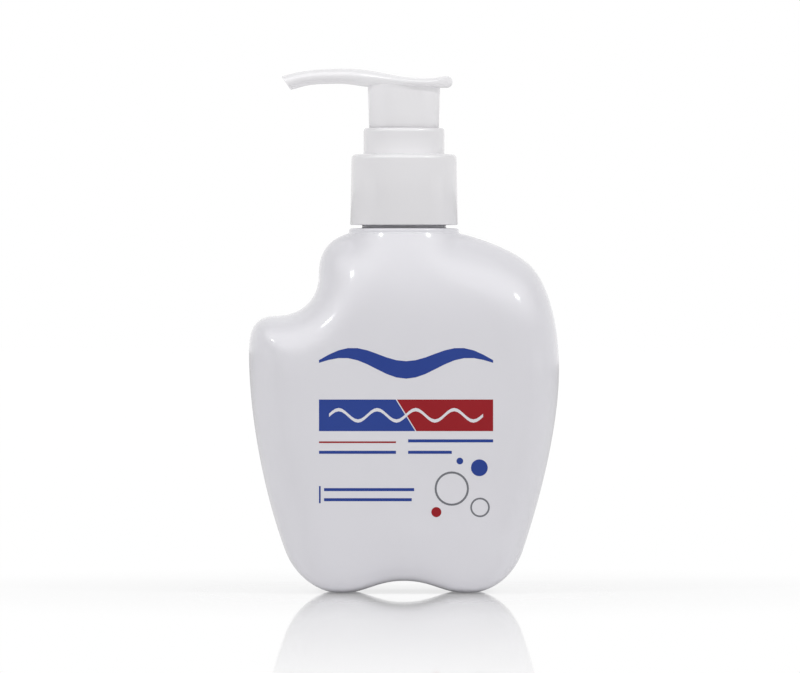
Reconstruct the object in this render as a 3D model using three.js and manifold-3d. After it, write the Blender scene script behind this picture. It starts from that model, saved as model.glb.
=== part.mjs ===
// Toothpaste pump dispenser: a flat blow-moulded bottle with a bitten upper corner stands on two feet,
// and a lotion pump screws onto its neck. Millimetres, +Z up. The feet stand on z = 0, the neck's axis
// is x = y = 0, the printed front faces -Y and the spout points to -X.
import * as THREE from "three";
import { mergeVertices } from "three/addons/utils/BufferGeometryUtils.js";
import Module from "manifold-3d";

const wasm = await Module();
wasm.setup();
const { lerp, clamp, smoothstep, degToRad } = THREE.MathUtils;
const ORIGIN = new THREE.Vector2();

// Bottle body. Drops are measured down from the body's top, insets in from its widest sides.
const BODY_WIDTH = 93.1;
const BODY_HEIGHT = 107.3;
const BODY_DEPTH = 46;
const BASE_DEPTH = 43;
const WALL = 1.2;
const SIDE_EDGE = 16;
const BASE_EDGE = 8;
const BASE_BLEND = 20;
const SHOULDER_DROP = 28;
const SHOULDER_CORNER_DROP = 10.3;
const SHOULDER_CORNER_INSET = 7.95;
const RIGHT_WIDEST_DROP = 40.3;
const LEFT_WIDEST_DROP = 35.3;
const BITE_WAIST_X = 25.6;
const BITE_WAIST_DROP = 12.3;
const LEDGE_INSET = 8.05;
const LEDGE_DROP = 24.7;
const HEEL_INSET = 10.95;
const HEEL_Z = 12.2;
const FOOT_X = 18.9;
const FOOT_TRIM = 0.35;
const ARCH_RISE = 3.3;

// Neck finish, the common 28 mm one. The thread is right-handed.
const NECK_R = 12.6;
const NECK_WALL = 1.5;
const NECK_HEIGHT = 13.1;
const RING_HEIGHT = 1.6;
const RING_EDGE = 0.8;
const RING_STEP = 0.35;
const SHOULDER_STEP = 0.5;
const THREAD_PITCH = 4.23;
const THREAD_TURNS = 1.5;
const THREAD_DEPTH = 1.1;
const THREAD_ROOT_WIDTH = 2.2;
const THREAD_CREST_WIDTH = 1.0;
const THREAD_RIM_GAP = 3.05;

// Screw collar
const COLLAR_WALL = 2.05;
const COLLAR_DRAFT = 0.35;
const COLLAR_EDGE = 1.1;
const COLLAR_TOP_WALL = 1.5;
const COLLAR_LIFT = 1.0;
const THREAD_CLEARANCE = 0.4;

// Pump, from the neck's rim up
const GASKET_HEIGHT = 1.1;
const FLANGE_HEIGHT = 1.4;
const CUP_HEIGHT = 3.2;
const GUIDE_LEDGE = 1.35;
const GUIDE_FLANGE_HEIGHT = 1.5;
const GUIDE_FLOOR = 1.0;
const GUIDE_FLOOR_GAP = 0.5;
const GUIDE_WALL = 1.1;
const GUIDE_EDGE = 0.9;
const GUIDE_TUBE_RISE = 3.3;
const GUIDE_TUBE_WALL = 1.2;
const PLUG_LENGTH = 6.7;

// Pump, inside the cylinder
const STROKE = 11;
const CYLINDER_R = 6.3;
const CYLINDER_WALL = 1.2;
const STEM_R = 3.5;
const STEM_STEP = 0.5;
const STEM_BORE_R = 2.5;
const PISTON_HEIGHT = 6.4;
const PISTON_SLIP = 1.2;
const PIN_FLANGE_HEIGHT = 1.3;
const PIN_SHANK = 7;
const PIN_SPINDLE = 5;
const SPRING_WIRE = 1.1;
const SPRING_TURNS = 7;
const SPRING_CLEARANCE = 1.1;
const BALL_R = 2.75;
const BALL_LIFT = 1.8;
const CAGE_CLEARANCE = 0.75;
const CAGE_RIB_HEIGHT = 1.6;
const CAGE_RIBS = 3;
const SEAT_HOLE_R = 1.7;
const SEAT_FLOOR = 1.0;
const VENT_R = 0.5;
const TUBE_R = 3;
const TUBE_WALL = 0.8;
const TUBE_SOCKET = 7.5;
const TUBE_FLOOR_GAP = 2.5;
const TUBE_CUT_ANGLE = 30;

// Pump head. Heights are over the underside of its thumb pad, reaches from the neck's axis.
const SKIRT_OVERLAP = 1.4;
const SKIRT_WALL = 1.1;
const SKIRT_DRAFT = 0.43;
const SKIRT_PLAY = 0.28;
const HEAD_STOP_GAP = 1.1;
const SOCKET_WALL = 1;
const SOCKET_PLAY = 1.5;
const DUCT_FLOOR = 0.7;
const HEAD_REAR = 14.6;
const HEAD_REACH = 36.7;
const PAD_HALF_WIDTH = 12;
const SADDLE_X = 6.5;
const SADDLE_HEIGHT = 2.8;
const REAR_HEIGHT = 3.5;
const CREST_X = 17.5;
const CREST_HEIGHT = 5.7;
const SPOUT_UNDERSIDE = 1.2;
const SPOUT_HALF_WIDTH = 4.7;
const TIP_HALF_WIDTH = 4;
const TIP_TOP = 3.4;
const TIP_DROP = 4;
const TIP_CUT = 2.8;
const BORE_HALF_WIDTH = 2.4;
const BORE_HALF_HEIGHT = 1.5;
const BORE_WALL = 0.7;

// Print on the front
const PRINT_GAP = 0.1;
const PRINT_THICKNESS = 0.25;
const PRINT_LEFT = -25.3;
const PRINT_RIGHT = 26.5;
const WAVE_Z = 69.2;
const WAVE_HEIGHT = 2.5;
const WAVE_BAND = 2.6;
const WAVE_TIP = 0.4;
const WAVE_TURNS = 1.5;
const BAND_BOTTOM = 48.5;
const BAND_TOP = 57.9;
const BAND_SPLIT_TOP = -2.3;
const BAND_SPLIT_BOTTOM = 3.5;
const BAND_WAVE_HEIGHT = 1.7;
const BAND_WAVE_WIDTH = 0.5;
const BAND_WAVE_MARGIN = 3;
const BAND_WAVE_TURNS = 4;
const INK_SPLIT = 0.3;
const RULE_HEIGHT = 0.5;
const RULE_Z = 45.2;
const LINE_HEIGHT = 0.9;
const LINE_UPPER_Z = 45.6;
const LINE_LOWER_Z = 42.2;
const LEFT_COLUMN_WIDTH = 22.9;
const RIGHT_COLUMN_WIDTH = 25.3;
const SHORT_LINE_CUT = 12.3;
const MARK_Z = 29.6;
const MARK_HEIGHT = 5.1;
const MARK_WIDTH = 0.5;
const FOOT_LINE_INDENT = 1.5;
const FOOT_LINE_SPACING = 3;
const FOOT_UPPER_WIDTH = 26.8;
const FOOT_LOWER_WIDTH = 26.1;
const BUBBLES = {
  print_bubble_large: { ink: "grey", x: 14.2, z: 31.4, radius: 5.1, holeRadius: 4.5 },
  print_bubble_small: { ink: "grey", x: 22.6, z: 25.8, radius: 2.9, holeRadius: 2.4 },
  print_bubble_blue: { ink: "blue", x: 22.4, z: 37.6, radius: 2.5, holeRadius: 0 },
  print_bubble_red: { ink: "red", x: 9.6, z: 24.4, radius: 1.5, holeRadius: 0 },
  print_bubble_dot: { ink: "blue", x: 16.6, z: 39.6, radius: 1, holeRadius: 0 },
};

// Clearances: between pieces that rest on or press into each other, and between pieces that turn
const SEAT_GAP = 0.1;
const SLIDE_GAP = 0.15;
const TURN_GAP = 0.25;

// Facets round a full turn, of wide and of slim round pieces
const ROUND = 32;
const SLIM = 24;

// Radii that follow from the neck
const threadR = NECK_R + THREAD_DEPTH;
const collarBoreR = threadR + THREAD_CLEARANCE;
const collarR = collarBoreR + COLLAR_WALL;
const ringR = collarR + RING_STEP;
const shoulderR = ringR + SHOULDER_STEP;
const flangeR = collarBoreR - 2 * TURN_GAP;
const guideR = flangeR - GUIDE_LEDGE;
const guideBoreR = guideR - GUIDE_WALL;
const skirtR = guideBoreR - SKIRT_PLAY;

// Radii of the pump's inner pieces
const plugR = CYLINDER_R - SLIDE_GAP;
const stemGuideR = STEM_R + TURN_GAP;
const stemLowR = STEM_R - STEM_STEP;
const socketR = STEM_R + SEAT_GAP;
const springR = CYLINDER_R - SPRING_CLEARANCE;
const pinFlangeR = springR - SLIDE_GAP;
const cageR = BALL_R + CAGE_CLEARANCE;
const tubeSocketR = TUBE_R + SEAT_GAP;

// Heights of the pump's pieces over the neck's rim
const rimZ = BODY_HEIGHT + RING_HEIGHT + NECK_HEIGHT;
const flangeZ = GASKET_HEIGHT + 2 * SEAT_GAP;
const flangeTop = flangeZ + FLANGE_HEIGHT;
const cupTop = flangeTop + CUP_HEIGHT;
const guideFlangeZ = cupTop + SEAT_GAP;
const guideFlangeTop = guideFlangeZ + GUIDE_FLANGE_HEIGHT;
const guideFloorZ = flangeTop + GUIDE_FLOOR_GAP;
const guideFloorTop = guideFloorZ + GUIDE_FLOOR;
const guideTubeTop = guideFloorTop + GUIDE_TUBE_RISE;
const guideTop = guideFloorTop + SEAT_GAP + TURN_GAP + STROKE + SKIRT_OVERLAP;
const collarTop = guideFlangeTop + SEAT_GAP + COLLAR_TOP_WALL;
const collarBottom = COLLAR_LIFT - NECK_HEIGHT;
const padZ = guideTop + STROKE + HEAD_STOP_GAP;
const skirtBottom = guideTop - SKIRT_OVERLAP;
const socketBottom = guideTubeTop + STROKE + SOCKET_PLAY;
const stemDrop = BORE_HALF_HEIGHT + DUCT_FLOOR;
const plugBottom = guideFloorZ - PLUG_LENGTH;
const pistonTop = plugBottom - PISTON_SLIP - TURN_GAP;
const pistonBottom = pistonTop - PISTON_HEIGHT;
const pinFlangeTop = pistonBottom - SEAT_GAP;
const pinFlangeBottom = pinFlangeTop - PIN_FLANGE_HEIGHT;
const springSolid = (SPRING_TURNS + 0.6) * SPRING_WIRE;
const springBottom = pinFlangeBottom - STROKE - springSolid;
const ledgeZ = springBottom - SEAT_GAP;
const ballZ = ledgeZ - CAGE_RIB_HEIGHT - TURN_GAP - BALL_LIFT - BALL_R;
const seatZ = ballZ - Math.SQRT2 * (BALL_R + SEAT_GAP) + SEAT_HOLE_R;
const tubeStopZ = seatZ - SEAT_FLOOR;
const tubeTop = tubeStopZ - SEAT_GAP;
const tubeBottom = ARCH_RISE + WALL + TUBE_FLOOR_GAP - rimZ;

// The thread's first ridge, over the rim
const threadZ = -THREAD_RIM_GAP - THREAD_TURNS * THREAD_PITCH;

// A closed mesh as a solid that can be joined and cut.
function solidOf(geometry) {
  const bare = new THREE.BufferGeometry();
  bare.setAttribute("position", geometry.getAttribute("position"));
  bare.setIndex(geometry.index);
  const merged = mergeVertices(bare, 1e-4);
  const vertProperties = merged.getAttribute("position").array;
  const triVerts = new Uint32Array(merged.index.array);
  return new wasm.Manifold(new wasm.Mesh({ numProp: 3, vertProperties, triVerts }));
}

// The way back: a geometry with the solid's vertices and triangles.
function geometryOf(solid) {
  const mesh = solid.getMesh();
  const geometry = new THREE.BufferGeometry();
  geometry.setAttribute("position", new THREE.BufferAttribute(mesh.vertProperties, 3));
  geometry.setIndex(new THREE.BufferAttribute(mesh.triVerts, 1));
  geometry.computeVertexNormals();
  return geometry;
}

// A profile of [radius, height] points turned about the vertical axis. Rings close on themselves.
function turned(profile, segments, closed = true) {
  const points = profile.map(([r, z]) => new THREE.Vector2(r, z));
  if (closed) points.push(points[0].clone());
  return new THREE.LatheGeometry(points, segments).rotateX(Math.PI / 2);
}

// A solid cylinder between two heights.
function rod(radius, bottom, top, segments) {
  const profile = [[0, bottom], [radius, bottom], [radius, top], [0, top]];
  return turned(profile, segments, false);
}

// Points of a quarter round from a vertical wall up over to a flat top.
function topEdge(r, z, radius, steps = 3) {
  const points = [];
  for (let i = 0; i <= steps; i++) {
    const angle = (i / steps) * (Math.PI / 2);
    points.push([r - radius + radius * Math.cos(angle), z - radius + radius * Math.sin(angle)]);
  }
  return points;
}

// A smooth line through knots. Each knot has a place, a heading in degrees, and the lengths of its
// handles before and after it as shares of the chord on that side.
function curveThrough(knots) {
  const path = new THREE.Path();
  path.moveTo(knots[0].x, knots[0].y);
  for (let i = 1; i < knots.length; i++) {
    const a = knots[i - 1];
    const b = knots[i];
    const chord = Math.hypot(b.x - a.x, b.y - a.y);
    const leave = new THREE.Vector2(a.after * chord, 0).rotateAround(ORIGIN, degToRad(a.heading));
    const arrive = new THREE.Vector2(b.before * chord, 0).rotateAround(ORIGIN, degToRad(b.heading));
    path.bezierCurveTo(a.x + leave.x, a.y + leave.y, b.x - arrive.x, b.y - arrive.y, b.x, b.y);
  }
  return path;
}

// A flat shape extruded along +Y, with the shape's own y upright.
function upright(shape, from, depth, curveSegments = 6) {
  const options = { depth, bevelEnabled: false, curveSegments };
  return new THREE.ExtrudeGeometry(shape, options).rotateX(Math.PI / 2).translate(0, from + depth, 0);
}

// The body's outline seen from the front, from the neck's right side round by the feet to its left.
function bodyOutline() {
  const side = BODY_WIDTH / 2;
  const below = (drop) => BODY_HEIGHT - drop;
  return curveThrough([
    { x: shoulderR, y: BODY_HEIGHT, heading: -13.6, after: 0.3 },
    { x: side - SHOULDER_CORNER_INSET, y: below(SHOULDER_CORNER_DROP), heading: -48, before: 0.28, after: 0.24 },
    { x: side, y: below(RIGHT_WIDEST_DROP), heading: -90, before: 0.4, after: 0.32 },
    { x: side - HEEL_INSET, y: HEEL_Z, heading: -109, before: 0.27, after: 0.35 },
    { x: FOOT_X, y: -FOOT_TRIM, heading: 180, before: 0.38, after: 0.39 },
    { x: 0, y: ARCH_RISE, heading: 180, before: 0.44, after: 0.44 },
    { x: -FOOT_X, y: -FOOT_TRIM, heading: 180, before: 0.39, after: 0.35 },
    { x: HEEL_INSET - side, y: HEEL_Z, heading: 111, before: 0.35, after: 0.28 },
    { x: -side, y: below(LEFT_WIDEST_DROP), heading: 90, before: 0.33, after: 0.56 },
    { x: LEDGE_INSET - side, y: below(LEDGE_DROP), heading: 0, before: 0.43, after: 0.42 },
    { x: -BITE_WAIST_X, y: below(BITE_WAIST_DROP), heading: 90, before: 0.43, after: 0.53 },
    { x: -shoulderR, y: BODY_HEIGHT, heading: 18.4, before: 0.32 },
  ]);
}

// The outline's points, moved inwards by the inset.
function insetPoints(outline, count, inset) {
  return outline.getSpacedPoints(count).map((point, i) => {
    const along = outline.getTangentAt(i / count);
    return new THREE.Vector2(point.x + inset * along.y, point.y - inset * along.x);
  });
}

// How far a point of the front view lies from an open line of points.
function distanceTo(line, x, y) {
  let nearest = Infinity;
  for (let i = 1; i < line.length; i++) {
    const a = line[i - 1];
    const b = line[i];
    const share = ((x - a.x) * (b.x - a.x) + (y - a.y) * (b.y - a.y)) / a.distanceToSquared(b);
    const t = clamp(share, 0, 1);
    nearest = Math.min(nearest, Math.hypot(x - lerp(a.x, b.x, t), y - lerp(a.y, b.y, t)));
  }
  return nearest;
}

// Half of the body's depth where it is deepest at a height: upright in the middle, drawn in a little
// to the base and round to the neck's shoulder.
function deepestAt(z) {
  const base = lerp(BASE_DEPTH / 2, BODY_DEPTH / 2, smoothstep(z, 0, BASE_BLEND));
  const rise = clamp((z - BODY_HEIGHT + SHOULDER_DROP) / SHOULDER_DROP, 0, 1);
  return lerp(base, shoulderR, rise * rise);
}

// Half of the body's depth at a place of the front view. It grows from nothing at the outline to the
// deepest over a rounded edge, which is boxy at the base and a true circle at the neck.
function halfDepth(line, x, z, inset) {
  const foot = smoothstep(z, 0, BASE_BLEND);
  const neck = smoothstep(z, BODY_HEIGHT - SHOULDER_DROP, BODY_HEIGHT);
  const edge = lerp(lerp(BASE_EDGE, SIDE_EDGE, foot), shoulderR, neck);
  const power = lerp(lerp(4, 2.5, foot), 2, neck);
  const share = Math.min(distanceTo(line, x, z) / edge, 1);
  return (deepestAt(z) - inset) * (1 - (1 - share) ** power) ** (1 / power);
}

// The body's outside, or its hollow when inset by the wall. Rings of points shrink from the outline
// to the middle, on the front and on the back, and a flat round face closes the top.
function bodySolid(inset, steps, rings, topSteps) {
  const line = insetPoints(bodyOutline(), steps, inset);
  const rim = [...line];
  const left = line[steps];
  const right = line[0];
  for (let i = 1; i < topSteps; i++) {
    const across = (1 - Math.cos((i / topSteps) * Math.PI)) / 2;
    rim.push(new THREE.Vector2(lerp(left.x, right.x, across), lerp(left.y, right.y, across)));
  }
  const middle = new THREE.Vector2(0, BODY_HEIGHT * 0.45);
  const shares = [0, 0.33];
  for (let i = rings; i >= 0; i--) shares.push(lerp(1, 0.66, 1 - Math.cos((i / rings) * (Math.PI / 2))));

  // The point on ring i in direction j, on the front with side -1 and on the back with side 1.
  const at = (i, j, side) => {
    const p = middle.clone().lerp(rim[j % rim.length], shares[i]);
    const onOutline = i === shares.length - 1 && j % rim.length <= steps;
    const depth = onOutline ? 0 : halfDepth(line, p.x, p.y, inset);
    return [p.x, side * depth, p.y];
  };
  const positions = [];
  const face = (...corners) => positions.push(...corners.flat());
  for (let j = 0; j < rim.length; j++) {
    face(at(0, j, -1), at(1, j + 1, -1), at(1, j, -1));
    face(at(0, j, 1), at(1, j, 1), at(1, j + 1, 1));
    for (let i = 1; i < shares.length - 1; i++) {
      face(at(i, j, -1), at(i, j + 1, -1), at(i + 1, j + 1, -1));
      face(at(i, j, -1), at(i + 1, j + 1, -1), at(i + 1, j, -1));
      face(at(i, j, 1), at(i + 1, j + 1, 1), at(i, j + 1, 1));
      face(at(i, j, 1), at(i + 1, j, 1), at(i + 1, j + 1, 1));
    }
    const last = shares.length - 1;
    if (j >= steps) {
      const next = (j + 1) % rim.length;
      if (j > steps) face(at(last, j, -1), at(last, next, -1), at(last, j, 1));
      if (next > 0) face(at(last, next, -1), at(last, next, 1), at(last, j, 1));
    }
  }
  const geometry = new THREE.BufferGeometry();
  geometry.setAttribute("position", new THREE.Float32BufferAttribute(positions, 3));
  return solidOf(geometry);
}

// One helical ridge. Its foot is sunk in the wall that carries it, and its ends run out into that wall.
function threadRidge(wallR, crestR, z, startTurn) {
  const outwards = Math.sign(crestR - wallR);
  const sunkR = wallR - 0.4 * outwards;
  const steps = Math.round(THREAD_TURNS * ROUND);
  const runOut = ROUND / 8;
  const sections = [];
  for (let i = 0; i <= steps; i++) {
    const angle = (startTurn + i / ROUND) * 2 * Math.PI;
    const height = z + (startTurn + i / ROUND) * THREAD_PITCH;
    const shown = Math.min(1, i / runOut, (steps - i) / runOut);
    const tipR = lerp(wallR - 0.1 * outwards, crestR, shown);
    const corners = [
      [sunkR, -THREAD_ROOT_WIDTH / 2],
      [tipR, -THREAD_CREST_WIDTH / 2],
      [tipR, THREAD_CREST_WIDTH / 2],
      [sunkR, THREAD_ROOT_WIDTH / 2],
    ];
    if (outwards < 0) corners.reverse();
    sections.push(corners.map(([r, dz]) => [r * Math.cos(angle), r * Math.sin(angle), height + dz]));
  }
  const positions = [];
  const quad = (a, b, c, d) => positions.push(...a, ...b, ...c, ...a, ...c, ...d);
  for (let i = 0; i < steps; i++) {
    for (let k = 0; k < 4; k++) {
      const next = (k + 1) % 4;
      quad(sections[i][k], sections[i + 1][k], sections[i + 1][next], sections[i][next]);
    }
  }
  quad(...sections[0]);
  quad(...sections[steps].reverse());
  const geometry = new THREE.BufferGeometry();
  geometry.setAttribute("position", new THREE.Float32BufferAttribute(positions, 3));
  return solidOf(geometry);
}

function bottle() {
  const ringTop = BODY_HEIGHT + RING_HEIGHT;
  const neck = turned([
    [0, BODY_HEIGHT - 2],
    [ringR - 1, BODY_HEIGHT - 2],
    [ringR, BODY_HEIGHT - 0.5],
    ...topEdge(ringR, ringTop, RING_EDGE),
    [NECK_R, ringTop],
    [NECK_R, rimZ],
    [0, rimZ],
  ], ROUND, false);
  const bore = rod(NECK_R - NECK_WALL, BODY_HEIGHT - 2 * WALL, rimZ + 1, ROUND);
  const floor = new THREE.BoxGeometry(BODY_WIDTH, BODY_DEPTH, 10).translate(0, 0, -5);
  const outside = bodySolid(0, 72, 6, 10)
    .add(solidOf(neck))
    .add(threadRidge(NECK_R, threadR, rimZ + threadZ, 0));
  const hollow = bodySolid(WALL, 44, 4, 8).add(solidOf(bore));
  return geometryOf(outside.subtract(hollow).subtract(solidOf(floor)));
}

function screwCollar() {
  const shell = turned([
    [collarBoreR, collarBottom],
    [collarR - 0.3, collarBottom],
    [collarR, collarBottom + 0.3],
    ...topEdge(collarR - COLLAR_DRAFT, collarTop, COLLAR_EDGE),
    [guideR + TURN_GAP, collarTop],
    [guideR + TURN_GAP, collarTop - COLLAR_TOP_WALL],
    [collarBoreR, collarTop - COLLAR_TOP_WALL],
  ], ROUND);
  // The collar's ridge bears on the underside of the neck's one, half a turn further up.
  const seat = (THREAD_ROOT_WIDTH + THREAD_CREST_WIDTH) / 2 + SLIDE_GAP;
  const ridge = threadRidge(collarBoreR, NECK_R + THREAD_CLEARANCE, threadZ - seat, 0.5);
  return geometryOf(solidOf(shell).add(ridge));
}

function neckGasket() {
  const boreR = NECK_R - NECK_WALL + SEAT_GAP;
  const top = SEAT_GAP + GASKET_HEIGHT;
  const outerR = flangeR - SEAT_GAP;
  return turned([[boreR, SEAT_GAP], [outerR, SEAT_GAP], [outerR, top], [boreR, top]], ROUND);
}

function guideCollar() {
  const tubeR = guideR - SEAT_GAP;
  const stemTubeR = stemGuideR + GUIDE_TUBE_WALL;
  return turned([
    [stemGuideR, plugBottom],
    [plugR, plugBottom],
    [plugR, guideFloorZ],
    [tubeR, guideFloorZ],
    [tubeR, guideFlangeZ],
    [flangeR, guideFlangeZ],
    [flangeR, guideFlangeTop],
    [guideR, guideFlangeTop],
    ...topEdge(tubeR, guideTop, GUIDE_EDGE),
    [guideBoreR, guideTop],
    [guideBoreR, guideFloorTop],
    [stemTubeR, guideFloorTop],
    [stemTubeR, guideTubeTop],
    [stemGuideR, guideTubeTop],
  ], ROUND);
}

// Cylinder with its flange cup, spring ledge, ball cage and tube socket, one moulding.
function pumpCylinder() {
  const outerR = CYLINDER_R + CYLINDER_WALL;
  const cageOuterR = cageR + CYLINDER_WALL;
  const coneTop = seatZ + cageR - SEAT_HOLE_R;
  const shell = turned([
    [tubeSocketR, tubeStopZ - TUBE_SOCKET],
    [tubeSocketR + CYLINDER_WALL, tubeStopZ - TUBE_SOCKET],
    [cageOuterR, tubeStopZ],
    [cageOuterR, ledgeZ - CYLINDER_WALL],
    [outerR, ledgeZ],
    [outerR, flangeZ],
    [flangeR, flangeZ],
    [flangeR, cupTop],
    [guideR, cupTop],
    [guideR, flangeTop],
    [CYLINDER_R, flangeTop],
    [CYLINDER_R, ledgeZ],
    [cageR, ledgeZ],
    [cageR, coneTop],
    [SEAT_HOLE_R, seatZ],
    [SEAT_HOLE_R, tubeStopZ],
    [tubeSocketR, tubeStopZ],
  ], ROUND);
  let cylinder = solidOf(shell);
  for (let i = 0; i < CAGE_RIBS; i++) {
    const reach = cageR + CYLINDER_WALL / 2 - BALL_R / 2;
    const rib = new THREE.BoxGeometry(reach, 1, CAGE_RIB_HEIGHT);
    rib.translate(BALL_R / 2 + reach / 2, 0, ledgeZ - CAGE_RIB_HEIGHT / 2);
    cylinder = cylinder.add(solidOf(rib.rotateZ((i / CAGE_RIBS) * 2 * Math.PI)));
  }
  const vent = rod(VENT_R, 0, 2 * outerR, 8).rotateY(Math.PI / 2);
  vent.translate(0, 0, (plugBottom + pistonTop) / 2);
  return geometryOf(cylinder.subtract(solidOf(vent)));
}

function inletBall() {
  return new THREE.SphereGeometry(BALL_R, 16, 10).rotateX(Math.PI / 2).translate(0, 0, ballZ);
}

// Straight tube, its lower end cut on a slant.
function dipTube() {
  const boreR = TUBE_R - TUBE_WALL;
  const profile = [[boreR, tubeBottom], [TUBE_R, tubeBottom], [TUBE_R, tubeTop], [boreR, tubeTop]];
  const size = 6 * TUBE_R;
  const cutter = new THREE.BoxGeometry(size, size, size).translate(0, 0, -size / 2);
  cutter.rotateY(degToRad(TUBE_CUT_ANGLE));
  cutter.translate(0, 0, tubeBottom + TUBE_R * Math.tan(degToRad(TUBE_CUT_ANGLE)));
  return geometryOf(solidOf(turned(profile, SLIM)).subtract(solidOf(cutter)));
}

// The centre line of the spring's wire. The end turns lie close, and the others share the height.
class CoilLine extends THREE.Curve {
  getPoint(t, target = new THREE.Vector3()) {
    const turn = t * SPRING_TURNS;
    const height = pinFlangeBottom - SEAT_GAP - springBottom - SPRING_WIRE;
    const closed = SPRING_WIRE + SLIDE_GAP;
    const pitch = (height - 2 * closed) / (SPRING_TURNS - 2);
    const open = clamp(turn - 1, 0, SPRING_TURNS - 2);
    const rise = Math.min(turn, 1) * closed + open * pitch + Math.max(turn - SPRING_TURNS + 1, 0) * closed;
    const radius = springR - SPRING_WIRE / 2;
    const angle = turn * 2 * Math.PI;
    const z = springBottom + SPRING_WIRE / 2 + rise;
    return target.set(radius * Math.cos(angle), radius * Math.sin(angle), z);
  }
}

function spring() {
  const wire = new THREE.Shape().absarc(0, 0, SPRING_WIRE / 2, 0, 2 * Math.PI);
  const options = { steps: SPRING_TURNS * 12, curveSegments: 3, bevelEnabled: false };
  return new THREE.ExtrudeGeometry(wire, { ...options, extrudePath: new CoilLine() });
}

// Double-lipped piston: a sleeve on the stem, a web, and a skirt that wipes the cylinder.
function piston() {
  const boreR = stemLowR + SLIDE_GAP;
  const sleeveR = boreR + 1.35;
  const skirtInR = CYLINDER_R - 0.9;
  const wallR = CYLINDER_R - 0.4;
  const lipR = CYLINDER_R - SLIDE_GAP;
  const lip = 0.3;
  const taper = 1.1;
  const webZ = pistonBottom + PISTON_HEIGHT * 0.4;
  const webTop = pistonBottom + PISTON_HEIGHT * 0.6;
  return turned([
    [boreR, pistonBottom],
    [sleeveR, pistonBottom],
    [sleeveR, webZ],
    [skirtInR, webZ],
    [skirtInR, pistonBottom + lip],
    [lipR, pistonBottom + lip],
    [wallR, pistonBottom + lip + taper],
    [wallR, pistonTop - lip - taper],
    [lipR, pistonTop - lip],
    [skirtInR, pistonTop - lip],
    [skirtInR, webTop],
    [sleeveR, webTop],
    [sleeveR, pistonTop],
    [boreR, pistonTop],
  ], SLIM);
}

// Hollow stem. Below its step the piston slides on it, and a slot across its end lets the paste in.
function stem() {
  const bottom = pinFlangeTop + SEAT_GAP;
  const step = pistonTop + PISTON_SLIP + SEAT_GAP;
  const tube = turned([
    [STEM_BORE_R, bottom],
    [stemLowR, bottom],
    [stemLowR, step],
    [STEM_R, step],
    [STEM_R, padZ - stemDrop - SEAT_GAP],
    [STEM_BORE_R, padZ - stemDrop - SEAT_GAP],
  ], SLIM);
  const slotHeight = 2.5;
  const slot = new THREE.BoxGeometry(3 * STEM_R, 2, slotHeight).translate(0, 0, bottom + slotHeight / 2 - 0.1);
  return geometryOf(solidOf(tube).subtract(solidOf(slot)));
}

// Pin in the stem's lower end: a flatted shank, the flange that the piston closes on, and a spindle
// that keeps the spring straight.
function valvePin() {
  const shankR = STEM_BORE_R - SEAT_GAP;
  const spindleR = springR - SPRING_WIRE - 0.5;
  const pin = turned([
    [0, pinFlangeBottom - PIN_SPINDLE],
    [spindleR - 0.6, pinFlangeBottom - PIN_SPINDLE],
    [spindleR, pinFlangeBottom - PIN_SPINDLE + 0.6],
    [spindleR, pinFlangeBottom],
    [pinFlangeR, pinFlangeBottom],
    [pinFlangeR, pinFlangeTop],
    [shankR, pinFlangeTop],
    [shankR, pinFlangeTop + PIN_SHANK],
    [0, pinFlangeTop + PIN_SHANK],
  ], SLIM, false);
  const flat = new THREE.BoxGeometry(2 * STEM_R, STEM_R, PIN_SHANK + 1);
  flat.translate(0, shankR * 0.6 + STEM_R / 2, pinFlangeTop + (PIN_SHANK + 1) / 2);
  const otherFlat = flat.clone().rotateZ(Math.PI);
  return geometryOf(solidOf(pin).subtract(solidOf(flat)).subtract(solidOf(otherFlat)));
}

// The head from the side, x along the spout and y up from the pad's underside.
function headProfile() {
  const path = curveThrough([
    { x: -HEAD_REACH, y: TIP_TOP, heading: 18, after: 0.33 },
    { x: -CREST_X, y: CREST_HEIGHT, heading: 0, before: 0.4, after: 0.42 },
    { x: SADDLE_X, y: SADDLE_HEIGHT, heading: 0, before: 0.42, after: 0.4 },
    { x: HEAD_REAR - REAR_HEIGHT / 2, y: REAR_HEIGHT, heading: 5, before: 0.3, after: 0.4 },
    { x: HEAD_REAR, y: REAR_HEIGHT / 2, heading: -90, before: 0.4, after: 0.4 },
    { x: HEAD_REAR - REAR_HEIGHT / 2, y: 0, heading: 180, before: 0.4, after: 0.3 },
    { x: -skirtR, y: 0.4, heading: 176, before: 0.3, after: 0.3 },
    { x: -CREST_X - 2, y: SPOUT_UNDERSIDE, heading: 180, before: 0.4, after: 0.4 },
    { x: TIP_CUT - HEAD_REACH, y: TIP_TOP - TIP_DROP, heading: 197, before: 0.33 },
  ]);
  return new THREE.Shape(path.getPoints(7));
}

// The head from above: a round pad that narrows into the spout.
function headPlan() {
  const padX = HEAD_REAR - PAD_HALF_WIDTH;
  const half = curveThrough([
    { x: HEAD_REAR, y: 0, heading: 90, after: 0.39 },
    { x: padX, y: PAD_HALF_WIDTH, heading: 180, before: 0.39, after: 0.36 },
    { x: -CREST_X - 2, y: SPOUT_HALF_WIDTH, heading: 184, before: 0.4, after: 0.3 },
    { x: -HEAD_REACH - 1, y: TIP_HALF_WIDTH, heading: 180, before: 0.3 },
  ]).getPoints(8);
  const mirrored = half.slice(1).reverse().map((point) => new THREE.Vector2(point.x, -point.y));
  return new THREE.Shape([...half, ...mirrored]);
}

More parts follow.
